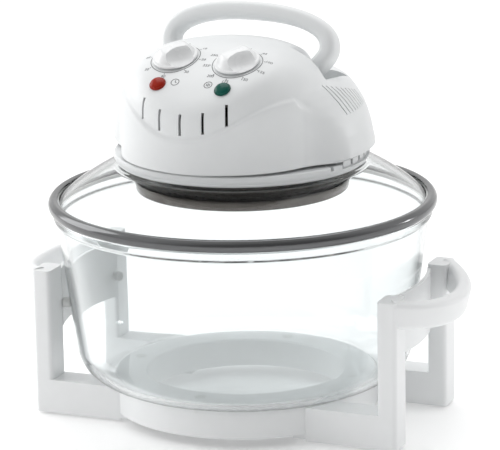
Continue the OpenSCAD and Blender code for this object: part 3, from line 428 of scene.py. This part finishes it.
def housing_form(p):
    """Below 0 inside the housing: the domed console, the waved skirt and the rear shoulder, blended."""
    x, y, z = np.abs(p[:, 0]), p[:, 1], p[:, 2]
    r = np.hypot(x, y + DRUM_Y)
    curved = np.hypot(y - PANEL_Y, z - CONSOLE_TOP + PANEL_R) - PANEL_R
    panel = np.where(y < PANEL_Y, curved, z - CONSOLE_TOP)
    console = soft_max(dome(r, z, 0), panel, PANEL_BLEND)
    pocket = np.minimum(np.minimum(x - FOLD_X, y - FOLD_Y), z - SHOULDER_Z)
    console = soft_max(console, pocket, POCKET_BLEND)
    t = np.clip((x / CREST_X) ** CREST_POWER, 0, 1)
    crest = CASE_Z + CREST_FRONT + CREST_RISE * t * t * (3 - 2 * t)
    fall = CASE_Z + np.interp(y, *zip(*RIDGE_FALL))
    skirt = soft_max(dome(r, z, SKIRT_OUT), z - crest, CREST_BLEND)
    skirt = soft_max(skirt, (z - fall) * FALL_SLOPE, FALL_BLEND)
    rear = np.hypot(x, y) - np.interp(z - CASE_Z, *zip(*SHOULDER))
    rear = soft_max(rear, z - SHOULDER_Z, SHOULDER_BLEND)
    rear = soft_max(rear, (np.interp(x, SIDE_CUT_X, SIDE_CUT_Y) - y) * SIDE_SLOPE, SIDE_BLEND)
    return soft_min(soft_min(console, skirt, SKIRT_BLEND), rear, REAR_BLEND)


def cast_on(bm, form, centre):
    """Moves each vertex along its ray from the centre out to the form's skin."""
    way = np.array([v.co.normalized() for v in bm.verts])
    reach = np.full(len(way), CAST_NEAR)
    inside = np.zeros(len(way), bool)
    for step in np.linspace(CAST_FAR, CAST_NEAR, COARSE_STEPS + 1):
        hit = form(centre + way * step) < 0
        reach = np.where(hit & ~inside, step, reach)
        inside |= hit
    beyond = reach + (CAST_FAR - CAST_NEAR) / COARSE_STEPS
    for _ in range(FINE_STEPS):
        mid = (reach + beyond) / 2
        within = form(centre + way * mid[:, None]) < 0
        reach, beyond = np.where(within, mid, reach), np.where(within, beyond, mid)
    for v, d, s in zip(bm.verts, way, reach):
        v.co = (centre + d * s) * MM


def cast_half(name, wall, around, up, drop=0.0):
    """The upper half of a ball, cast onto the housing's form drawn in by the wall, closed below.

    The rim is lowered by drop, so that the inner form cuts right through the outer one's floor.
    """
    turns = [math.pi / 2 * k / up for k in range(up + 1)]
    bm = turned([(math.cos(a) / MM, math.sin(a) / MM) for a in turns], False, around)
    cast_on(bm, lambda p: housing_form(p) + wall, np.array((0.0, CAST_Y, CASE_Z)))
    rim = [e for e in bm.edges if e.is_boundary]
    for v in {v for e in rim for v in e.verts}:
        v.co.z -= drop * MM
    bmesh.ops.contextual_create(bm, geom=rim)
    bmesh.ops.recalc_face_normals(bm, faces=bm.faces)
    return blank(name, bm)


def handle_pockets(grow):
    """The handle's wells and the room for its fold, grown by the wall that stays around them."""
    tools = []
    in_x = PIVOT_X - BAIL_T / 2 - WELL_GAP - grow
    out_x = PIVOT_X + BAIL_T / 2 + WELL_GAP + grow
    top = PIVOT_Z + WELL_UP
    well = (in_x, out_x, PIVOT_Y - WELL_R - grow, PIVOT_Y + WELL_R + grow, PIVOT_Z, top)
    fold = (FOLD_X - grow, FOLD_OUT + grow, FOLD_Y - grow, FOLD_BACK + grow,
            SHOULDER_Z - FOLD_DOWN - grow, top)
    for side in (1, -1):
        middle = Matrix.Translation((side * (in_x + out_x) / 2, PIVOT_Y, PIVOT_Z))
        lie = middle @ Matrix.Rotation(math.pi / 2, 4, "Y")
        tools.append(rod(WELL_R + grow, -(out_x - in_x) / 2, (out_x - in_x) / 2, lie, 64))
        for box in (well, fold):
            x0, x1 = sorted((side * box[0], side * box[1]))
            tools.append(block(x0, x1, *box[2:]))
    return tools


def front_slots():
    """Five tall slots with square ends, higher towards the sides."""
    half_w, height, near, far, step = 1.2, 17.5, -98, -125, 10.2
    tools = []
    for i in range(-2, 3):
        foot = CASE_Z + 31 + 9 * (i / 2) ** 2
        turn = Matrix.Rotation(math.radians(step * i), 4, "Z")
        tools.append(block(-half_w, half_w, far, near, foot, foot + height, turn))
    return tools


def louvres():
    """A fan of nine slanted slots over each side of the rear shoulder, shorter towards the back."""
    count, first, step, reach, half_w = 9, -9, 3.2, 101, 0.6
    tools = []
    for side in (1, -1):
        for i in range(count):
            at = (Matrix.Rotation(math.radians(side * (first + step * i)), 4, "Z")
                  @ Matrix.Translation((side * reach, 0, SHOULDER_Z - 13.5 - i * 0.3))
                  @ Matrix.Rotation(math.radians(23), 4, "X")
                  @ Matrix.Rotation(math.radians(side * 12), 4, "Y"))
            tools.append(block(-CUT_REACH, CUT_REACH, -half_w, half_w, -11 + i * 0.4, 11.5 - i * 0.9, at))
    return tools


def upper_housing():
    """The hollow moulding with its pockets, slots, louvres and holes."""
    outer = cast_half("upper_housing_moulding", 0, 420, 132)
    inner = cast_half("inner_form", WALL, 200, 60, 1.0)
    combine(inner, handle_pockets(WALL))
    combine(outer, handle_pockets(0))
    combine(outer, [inner])
    inlet = Matrix.Translation((0, 111, CASE_Z + 16)) @ Matrix.Rotation(math.radians(-79), 4, "X")
    holes = [(SPINDLE_HOLE_R, on_panel(x, KNOB_Y)) for x in (-KNOB_X, KNOB_X)]
    holes += [(LAMP_R - 1.2, on_panel(x, LAMP_Y)) for x in (-LAMP_X, LAMP_X)]
    holes.append((INLET_R, inlet))
    cuts = front_slots() + louvres()
    cuts += [rod(radius, -CUT_REACH, CUT_REACH, at) for radius, at in holes]
    combine(outer, cuts)
    split_again(outer, 30, LID_TURN)
    return dress(outer, "upper_housing")


# Glass and steel, all turned
def glass_bowl():
    """The tapered bowl with its rounded foot and the bead round its rim."""
    wall_top = BOWL_TOP - 9
    lean = BOWL_TAPER / (wall_top - BOWL_Z - BOWL_CORNER)
    foot_r = BOWL_R - lean * (wall_top - BOWL_Z)
    inner_foot = foot_r - BOWL_GLASS * (1 - lean)
    lip = BEAD_R - 3 - BOWL_GLASS
    outline = filleted([
        (0, BOWL_Z, 0), (foot_r, BOWL_Z, BOWL_CORNER), (BOWL_R, wall_top, 3), (BEAD_R, wall_top + 2.6, 2.2),
        (BEAD_R, BOWL_TOP, 2), (lip, BOWL_TOP, 1.2), (BOWL_R - BOWL_GLASS, wall_top, 6),
        (inner_foot, BOWL_Z + BOWL_GLASS, BOWL_CORNER - BOWL_GLASS), (0, BOWL_Z + BOWL_GLASS, 0)], False, 14)
    dress(blank("glass_bowl_blown", turned(outline, False, 224)), "glass_bowl")


def lid_glass():
    """The domed lid glass, open in the middle for the head."""
    steps, bulge = 24, 10
    edge_r, dome_r = BAND_R - 2.7, BAND_R - 9.5
    rise = LID_TOP - LID_Z - LID_GLASS

    def dome_at(k):
        t = k / steps
        return dome_r + (LID_FLAT_R - dome_r) * t, LID_TOP - rise + rise * t + bulge * t * (1 - t)

    crown = [dome_at(k) for k in range(steps, -1, -1)]
    under = []
    for k in range(steps + 1):
        r, z = dome_at(k)
        under.append((r - LID_GLASS * 0.5 * (1 - k / steps), z - LID_GLASS))
    outline = [(OPENING_R, LID_TOP - LID_GLASS), (OPENING_R, LID_TOP - 0.8), (OPENING_R + 0.8, LID_TOP)]
    edge = [(*crown[-1], 0), (edge_r, LID_Z + LID_GLASS, 1.8), (edge_r, LID_Z, 1.8), (*under[0], 0)]
    outline += crown + filleted(edge, False)[1:-1] + under
    dress(blank("lid_glass_pressed", turned(outline, True, 224)), "lid_glass", LID_CLEAR)


def rim_band():
    """The steel band, rolled over the lid's edge and hooked in under it."""
    z0, z1, r = BAND_Z, BAND_TOP, BAND_R
    outline = filleted([
        (r - 4.5, z0, 0.4), (r - 1.6, z0, 1), (r - 0.5, z0 + 1.6, 1.5), (r, z0 + 3.6, 5),
        (r - 0.3, z1 - 3.4, 6), (r - 3.2, z1, 3), (r - 8, z1 - 0.8, 0.5), (r - 8, z1 - 1.9, 0.4),
        (r - 3.8, z1 - 1.2, 2), (r - 1.5, z1 - 3.4, 2), (r - 1.3, z0 + 3.6, 2), (r - 2.2, z0 + 1.2, 0.5),
        (r - 4.5, z0 + 1.2, 0.3)], True, 5)
    dress(blank("rim_band_rolled", turned(outline, True, 224)), "rim_band")


def rim_seal():
    """The flat silicone ring between the bowl's bead and the lid."""
    top, foot, in_r = high("rim_seal"), low("rim_seal"), BOWL_R - BOWL_GLASS
    outline = filleted([(in_r, foot, 0.4), (BEAD_R - 1.2, foot, 0.4), (BEAD_R - 1.2, top - 1, 0.3),
                        (BEAD_R - 1.8, top, 0.3), (in_r, top, 0.3)], True, 3)
    dress(blank("rim_seal_moulded", turned(outline, True, 160)), "rim_seal")


def pan_ring():
    """The pressed ring under the head; its steel's dark colour is painted shade and painted dark reflection.
    """
    r, z0, z1 = PAN_R, PAN_Z, PAN_TOP
    outline = filleted([
        (r - 5, z0, 0.3), (r - 0.6, z0, 1.6), (r + 0.3, z1 - 0.2, 0.6), (r - 5.5, z1, 0.3),
        (r - 5.5, z1 - 0.8, 0.3), (r - 0.7, z1 - 0.8, 0.3), (r - 1.5, z0 + 0.9, 0.8),
        (r - 5, z0 + 0.9, 0.3)], True, 4)
    dress(blank("pan_ring_pressed", turned(outline, True, 192)), "pan_ring", PAN)


def perforated_guard():
    """A cone of sheet, painted near black for the shade inside the head, with two rows of round holes, and
    the flange that the clamp ring holds.
    """
    holes, rows, web, sheet = 88, 2, 1.75, 0.6
    first, tall, margin = 0.1, 0.78, 0.1
    top = high("perforated_guard")
    foot, crown = (PAN_R - 1.6, PAN_TOP + 0.1), (OPENING_R - 1.6, top - 0.6)

    def up_cone(t):
        return tuple(a + (b - a) * t for a, b in zip(foot, crown))

    heights = [0.0, first] + [first + tall * k / rows for k in range(1, rows + 1)] + [1.0]
    bm = turned([up_cone(t) for t in heights] + [(OPENING_R - 13, top - 0.4)], False, holes)
    z0, z1 = (up_cone(first)[1] - margin) * MM, (up_cone(first + tall)[1] + margin) * MM
    cells = [f for f in bm.faces if all(z0 <= v.co.z <= z1 for v in f.verts)]
    bmesh.ops.inset_individual(bm, faces=cells, thickness=web * MM, use_even_offset=True)
    bmesh.ops.delete(bm, geom=cells, context="FACES")
    bmesh.ops.recalc_face_normals(bm, faces=bm.faces)
    bmesh.ops.transform(bm, matrix=LID_TURN, verts=bm.verts)
    guard = blank("perforated_guard_sheet", bm, 60)
    wall = guard.modifiers.new("sheet", "SOLIDIFY")
    wall.thickness, wall.offset = sheet * MM, -1
    rounding = guard.modifiers.new("round_holes", "SUBSURF")
    rounding.levels = rounding.render_levels = 1
    dress(guard, "perforated_guard", GUARD)


def lens(node, x, material):
    """A pilot lamp's domed lens on its flat rim."""
    r = LAMP_R
    turns = [math.pi / 2 * k / 12 for k in range(12)]
    dome_points = [((r - 0.7) * math.sin(a), 0.9 + 2.7 * math.cos(a) ** 0.85) for a in turns]
    outline = dome_points + [(r - 0.7, 0.9), (r - 0.2, 0.85), (r, 0.6), (r, 0.05), (r - 1.4, 0.05),
                             (r - 1.4, -8.5), (r - 2.6, -8.5), (r - 2.6, -1), (0, -1)]
    bm = turned(outline, False, 64)
    bmesh.ops.transform(bm, matrix=panel_to_part(x, LAMP_Y), verts=bm.verts)
    dress(blank(node + "_dome", bm, 40), node, material)


# Knobs
def knob(node, x):
    """A round cap with a hollow scooped out on each side of its grip bar, on a thin skirt."""
    lift, scoop_x, scoop_size = 0.5, 16.4, (13.2, 17.5, 10.4)
    cap = filleted([(0, lift, 0), (KNOB_R, lift, 0.4), (KNOB_R, lift + 1.7, 0.8),
                    (KNOB_R - 2.2, lift + 2.4, 0.8), (KNOB_R - 3.2, lift + 3.6, 1.2),
                    (11.5, KNOB_H - 1.2, 4), (0, KNOB_H, 0)], False, 6)
    piece = blank(node + "_cap", turned(cap, False, 96))
    scoops = []
    for side in (1, -1):
        bm = bmesh.new()
        bmesh.ops.create_uvsphere(bm, u_segments=64, v_segments=40, radius=1)
        at = Matrix.Translation((side * scoop_x, 0, KNOB_H - 0.2))
        lean = Matrix.Rotation(side * math.radians(10), 4, "Y")
        size = Matrix.Diagonal((*scoop_size, 1))
        bmesh.ops.transform(bm, matrix=Matrix.Scale(MM, 4) @ at @ lean @ size, verts=bm.verts)
        scoops.append(blank("scoop", bm))
    combine(piece, scoops + [rod(SPINDLE_BORE_R, -1, 9.3)])
    split_again(piece, 40, panel_to_part(x, KNOB_Y) @ Matrix.Rotation(math.radians(KNOB_TURN), 4, "Z"))
    soften(piece, 0.35, 3, 40)
    dress(piece, node)


# Carry handle
def bail_point(t):
    """The bar's middle line from its right pivot (0) over the widest place (1) to the top (2)."""
    side_h, power = BAIL_H * 0.48, 2 / 2.3
    if t <= 1:
        return Vector((PIVOT_X + (BAIL_X - PIVOT_X) * t * t * (3 - 2 * t), side_h * t))
    turn = math.pi / 2 * (t - 1)
    return Vector((BAIL_X * max(0, math.cos(turn)) ** power,
                   side_h + (BAIL_H - side_h) * math.sin(turn) ** power))


def carry_handle():
    """The bar swept along its middle line, with its bosses, the pins' holes and the switch's cam."""
    half, power = 30, 2 / 2.9
    right = [bail_point(2 * k / half) for k in range(half + 1)]
    path = right + [Vector((-p.x, p.y)) for p in right[-2::-1]]
    frames = []
    for i, p in enumerate(path):
        ahead = (path[min(i + 1, len(path) - 1)] - path[max(i - 1, 0)]).normalized()
        frames.append(Matrix(((ahead.y, 0, ahead.x, p.x), (0, 1, 0, 0),
                              (-ahead.x, 0, ahead.y, p.y), (0, 0, 0, 1))))
    bm = bmesh.new()
    bmesh.ops.create_circle(bm, cap_ends=False, segments=40, radius=1)
    for v in bm.verts:
        v.co.x = math.copysign(abs(v.co.x) ** power, v.co.x) * BAIL_T / 2
        v.co.y = math.copysign(abs(v.co.y) ** power, v.co.y) * BAIL_D / 2
    ring, start = list(bm.edges), list(bm.edges)
    bmesh.ops.transform(bm, matrix=frames[0], verts=bm.verts)
    for here, ahead in zip(frames, frames[1:]):
        grown = bmesh.ops.extrude_edge_only(bm, edges=ring)["geom"]
        ring = [g for g in grown if isinstance(g, bmesh.types.BMEdge) and g.is_boundary]
        ends = list({v for e in ring for v in e.verts})
        bmesh.ops.transform(bm, matrix=ahead @ here.inverted(), verts=ends)
    bmesh.ops.contextual_create(bm, geom=start)
    bmesh.ops.contextual_create(bm, geom=ring)
    bmesh.ops.recalc_face_normals(bm, faces=bm.faces)
    pivots = Matrix.Translation((0, PIVOT_Y, PIVOT_Z))
    lean = pivots @ Matrix.Rotation(math.radians(-BAIL_LEAN), 4, "X")
    bmesh.ops.transform(bm, matrix=Matrix.Scale(MM, 4) @ lean, verts=bm.verts)
    piece = blank("carry_handle_moulding", bm, 60)
    along_x = Matrix.Rotation(math.pi / 2, 4, "Y")
    bosses = []
    for side in (1, -1):
        end = pivots @ Matrix.Translation((side * PIVOT_X, 0, 0)) @ along_x
        bosses.append(rod(BOSS_R, -BAIL_T / 2, BAIL_T / 2, end, 64))
    cam = pivots @ Matrix.Translation((PIVOT_X - 3, 0, 0)) @ Matrix.Rotation(math.radians(45), 4, "X")
    bosses.append(rod(CAM_R, 0, 6, cam @ Matrix.Translation((0, 0, -CAM_REACH)) @ along_x, 40))
    combine(piece, bosses, "UNION")
    combine(piece, [rod(PIN_HOLE_R, -90, 90, pivots @ along_x, 40)])
    split_again(piece, 40, LID_TURN)
    soften(piece, 0.8, 3, 40)
    dress(piece, "carry_handle")


# Printed marks round the knobs and beside the lamps
DIAL_R, DIAL_LINE, TICK_IN, TICK_OUT, FIGURE_SIZE = 20.9, 0.55, 22, 23.2, 4.1
FIGURE_X, FIGURE_Y = 26, 25.4
LAMP_RING_R, LAMP_RING_LINE, LAMP_RING_IN = 3.4, 0.6, 14.5
SKIN_SEARCH, INK_SINK, INK = 20, 0.06, 0.05
STROKE = (-0.3, 0.3)


def flat_text(words, size):
    """Figures as a mesh in the XY plane, centred on the origin, in millimetres."""
    data = bpy.data.curves.new("figures", "FONT")
    data.body, data.size, data.align_x, data.align_y = words, size, "CENTER", "CENTER"
    data.resolution_u = 3
    letters = bpy.data.objects.new("figures", data)
    bpy.context.collection.objects.link(letters)
    graph = bpy.context.evaluated_depsgraph_get()
    mesh = bpy.data.meshes.new_from_object(letters.evaluated_get(graph))
    bpy.data.objects.remove(letters)
    return mesh


def flat_ring(bm, radius, width, segments=72):
    """A flat line in a circle round the origin."""
    ring = bmesh.ops.create_circle(bm, cap_ends=True, segments=segments, radius=radius + width / 2)
    face = ring["verts"][0].link_faces[0]
    bmesh.ops.inset_region(bm, faces=[face], thickness=width, use_even_offset=True, use_boundary=True)
    bmesh.ops.delete(bm, geom=[face], context="FACES_ONLY")


def flat_bar(bm, x0, x1, y0, y1, place):
    """A flat stroke between two corners, turned by place."""
    size = Matrix.Translation(((x0 + x1) / 2, (y0 + y1) / 2, 0)) @ Matrix.Diagonal((x1 - x0, y1 - y0, 1, 1))
    bmesh.ops.create_grid(bm, x_segments=2, y_segments=2, size=0.5, matrix=place @ size)


def lay_print(name, bm, place, skin):
    """Presses a flat print onto the panel and gives it the thickness of ink."""
    down = (place.to_3x3() @ Vector((0, 0, -1))).normalized()
    for v in bm.verts:
        start = (place @ v.co) * MM - down * SKIN_SEARCH * MM
        hit = skin.ray_cast(start, down)[0]
        v.co = (hit if hit else start + down * SKIN_SEARCH * MM) - down * INK_SINK * MM
    bmesh.ops.recalc_face_normals(bm, faces=bm.faces)
    for f in bm.faces:
        if f.normal.dot(down) > 0:
            f.normal_flip()
    bmesh.ops.transform(bm, matrix=LID_TURN, verts=bm.verts)
    piece = blank(name, bm)
    ink = piece.modifiers.new("ink", "SOLIDIFY")
    ink.thickness, ink.offset = INK * MM, 1
    dress(piece, "upper_housing", PRINT, False)


def dial_print(name, x, labels, first, step, skin):
    """A fine ring round a knob, with a tick and a number at each setting."""
    bm = bmesh.new()
    flat_ring(bm, DIAL_R, DIAL_LINE)
    for i, words in enumerate(labels):
        angle = math.radians(first - step * i)
        flat_bar(bm, TICK_IN, TICK_OUT, *STROKE, Matrix.Rotation(angle, 4, "Z"))
        mesh = flat_text(words, FIGURE_SIZE)
        mesh.transform(Matrix.Translation((FIGURE_X * math.cos(angle), FIGURE_Y * math.sin(angle), 0)))
        bm.from_mesh(mesh)
    lay_print(name, bm, on_panel(x, KNOB_Y), skin)


def lamp_icon(name, x, hands, skin):
    """A small plain ring with a few bars in it."""
    bm = bmesh.new()
    flat_ring(bm, LAMP_RING_R, LAMP_RING_LINE, 40)
    for x0, x1, y0, y1, turn in hands:
        flat_bar(bm, x0, x1, y0, y1, Matrix.Rotation(math.radians(turn), 4, "Z"))
    lay_print(name, bm, on_panel(x, LAMP_Y - 3), skin)


def panel_print(housing):
    """Both dials and both marks, laid on the housing's own skin."""
    bm = bmesh.new()
    bm.from_mesh(housing.data)
    bmesh.ops.transform(bm, matrix=LID_TURN.inverted(), verts=bm.verts)
    skin = BVHTree.FromBMesh(bm)
    bm.free()
    minutes = ("0", "10", "20", "30", "40", "50", "60")
    degrees = ("0", "65", "100", "125", "150", "175", "200", "225", "250")
    dial_print("timer_scale", -KNOB_X, minutes, 90, 45, skin)
    dial_print("temperature_scale", KNOB_X, degrees, 90, 36, skin)
    clock_hands = ((*STROKE, 0, 2.1, 0), (*STROKE, 0, 1.6, -110))
    heat_bars = ((-1.6, -1.0, -1.4, 1.4, 0), (*STROKE, -1.8, 1.8, 0), (1.0, 1.6, -1.4, 1.4, 0))
    lamp_icon("timer_icon", -LAMP_X + LAMP_RING_IN, clock_hands, skin)
    lamp_icon("heat_icon", LAMP_X - LAMP_RING_IN, heat_bars, skin)


# Nodes that keep their own solid, as a joined copy with smooth faces, some with softened edges
EDGE_WIDTHS = {
    "base_ring": 0.8, "left_handle_frame": 1.3, "right_handle_frame": 1.3, "collar_housing": 0.35,
    "bowl_bumpers": 0.4, "cord_gland": 0.3,
}
SMOOTHED = {"fan_grille", "reflector_pan", "halogen_tube", "convection_fan", "clamp_ring", *EDGE_WIDTHS}


def dress_nodes():
    """Finishes every node that no new piece stands for."""
    for node, thing in frame["nodes"].items():
        if node in STOOD_FOR:
            continue
        slot = SLOT_OF[node]
        stand = BODY_OF[node] == "stand" and slot == "white_plastic"
        material = STAND_WHITE if stand else LOOK[slot]
        if node in SMOOTHED:
            piece = dress(blank(node + "_finished", merged_copy(node)), node, material)
            if node in EDGE_WIDTHS:
                soften(piece, EDGE_WIDTHS[node])
        else:
            thing.data.materials.clear()
            thing.data.materials.append(material)


# Stage
# In metres; the sky's brightness falls from SKY_TO's first to its second along SKY_WAY
FLOOR_HALF, FLOOR_DROP = 8, 0.0005
SKY_WAY, SKY_FROM, SKY_TO = (0.62, -0.76, 0.1), (0.05, 0.9), (0.96, 0.33)
AIM = (0, 0, 0.2)


def lay_stage():
    """A pale floor, and a sky that darkens towards the right of the front."""
    bm = bmesh.new()
    bmesh.ops.create_grid(bm, x_segments=1, y_segments=1, size=FLOOR_HALF)
    bmesh.ops.translate(bm, vec=(0, 0, -FLOOR_DROP), verts=bm.verts)
    floor = blank("floor", bm)
    floor.data.materials.append(finish("pale_floor", (0.94, 0.94, 0.94), 0.7, Emission_Color=(1, 1, 1, 1),
                                       Emission_Strength=0.2))
    bpy.context.scene.view_settings.view_transform = "Standard"
    world = bpy.data.worlds.new("studio")
    bpy.context.scene.world = world
    world.use_nodes = True
    nodes, links = world.node_tree.nodes, world.node_tree.links
    way = nodes.new("ShaderNodeTexCoord")
    lean = nodes.new("ShaderNodeVectorMath")
    lean.operation = "DOT_PRODUCT"
    lean.inputs[1].default_value = SKY_WAY
    sky = nodes.new("ShaderNodeMapRange")
    sky.interpolation_type = "SMOOTHSTEP"
    sky.inputs["From Min"].default_value, sky.inputs["From Max"].default_value = SKY_FROM
    sky.inputs["To Min"].default_value, sky.inputs["To Max"].default_value = SKY_TO
    links.new(way.outputs["Generated"], lean.inputs[0])
    links.new(lean.outputs["Value"], sky.inputs["Value"])
    links.new(sky.outputs["Result"], nodes["Background"].inputs["Strength"])
    nodes["Background"].inputs["Color"].default_value = (1, 1, 1, 1)


def softbox(name, at, size, power):
    """A rectangular lamp aimed at the oven."""
    data = bpy.data.lights.new(name, "AREA")
    data.shape, data.size, data.size_y, data.energy = "RECTANGLE", size[0], size[1], power
    lamp = bpy.data.objects.new(name, data)
    lamp.location = at
    lamp.rotation_euler = (Vector(AIM) - Vector(at)).to_track_quat("-Z", "Y").to_euler()
    bpy.context.collection.objects.link(lamp)


aim_camera()
housing = upper_housing()
panel_print(housing)
glass_bowl()
lid_glass()
rim_band()
rim_seal()
pan_ring()
perforated_guard()
knob("timer_knob", -KNOB_X)
knob("temperature_knob", KNOB_X)
lens("power_lamp_lens", -LAMP_X, RED_LENS)
lens("heat_lamp_lens", LAMP_X, GREEN_LENS)
carry_handle()
dress_nodes()
lay_stage()
softbox("left_softbox", (-1.7, 0.0, 0.9), (1.2, 1.4), 12)
softbox("top_softbox", (-0.2, 0.6, 1.9), (1.6, 1.4), 11)
softbox("right_softbox", (1.5, 1.25, 0.5), (0.14, 0.35), 2)
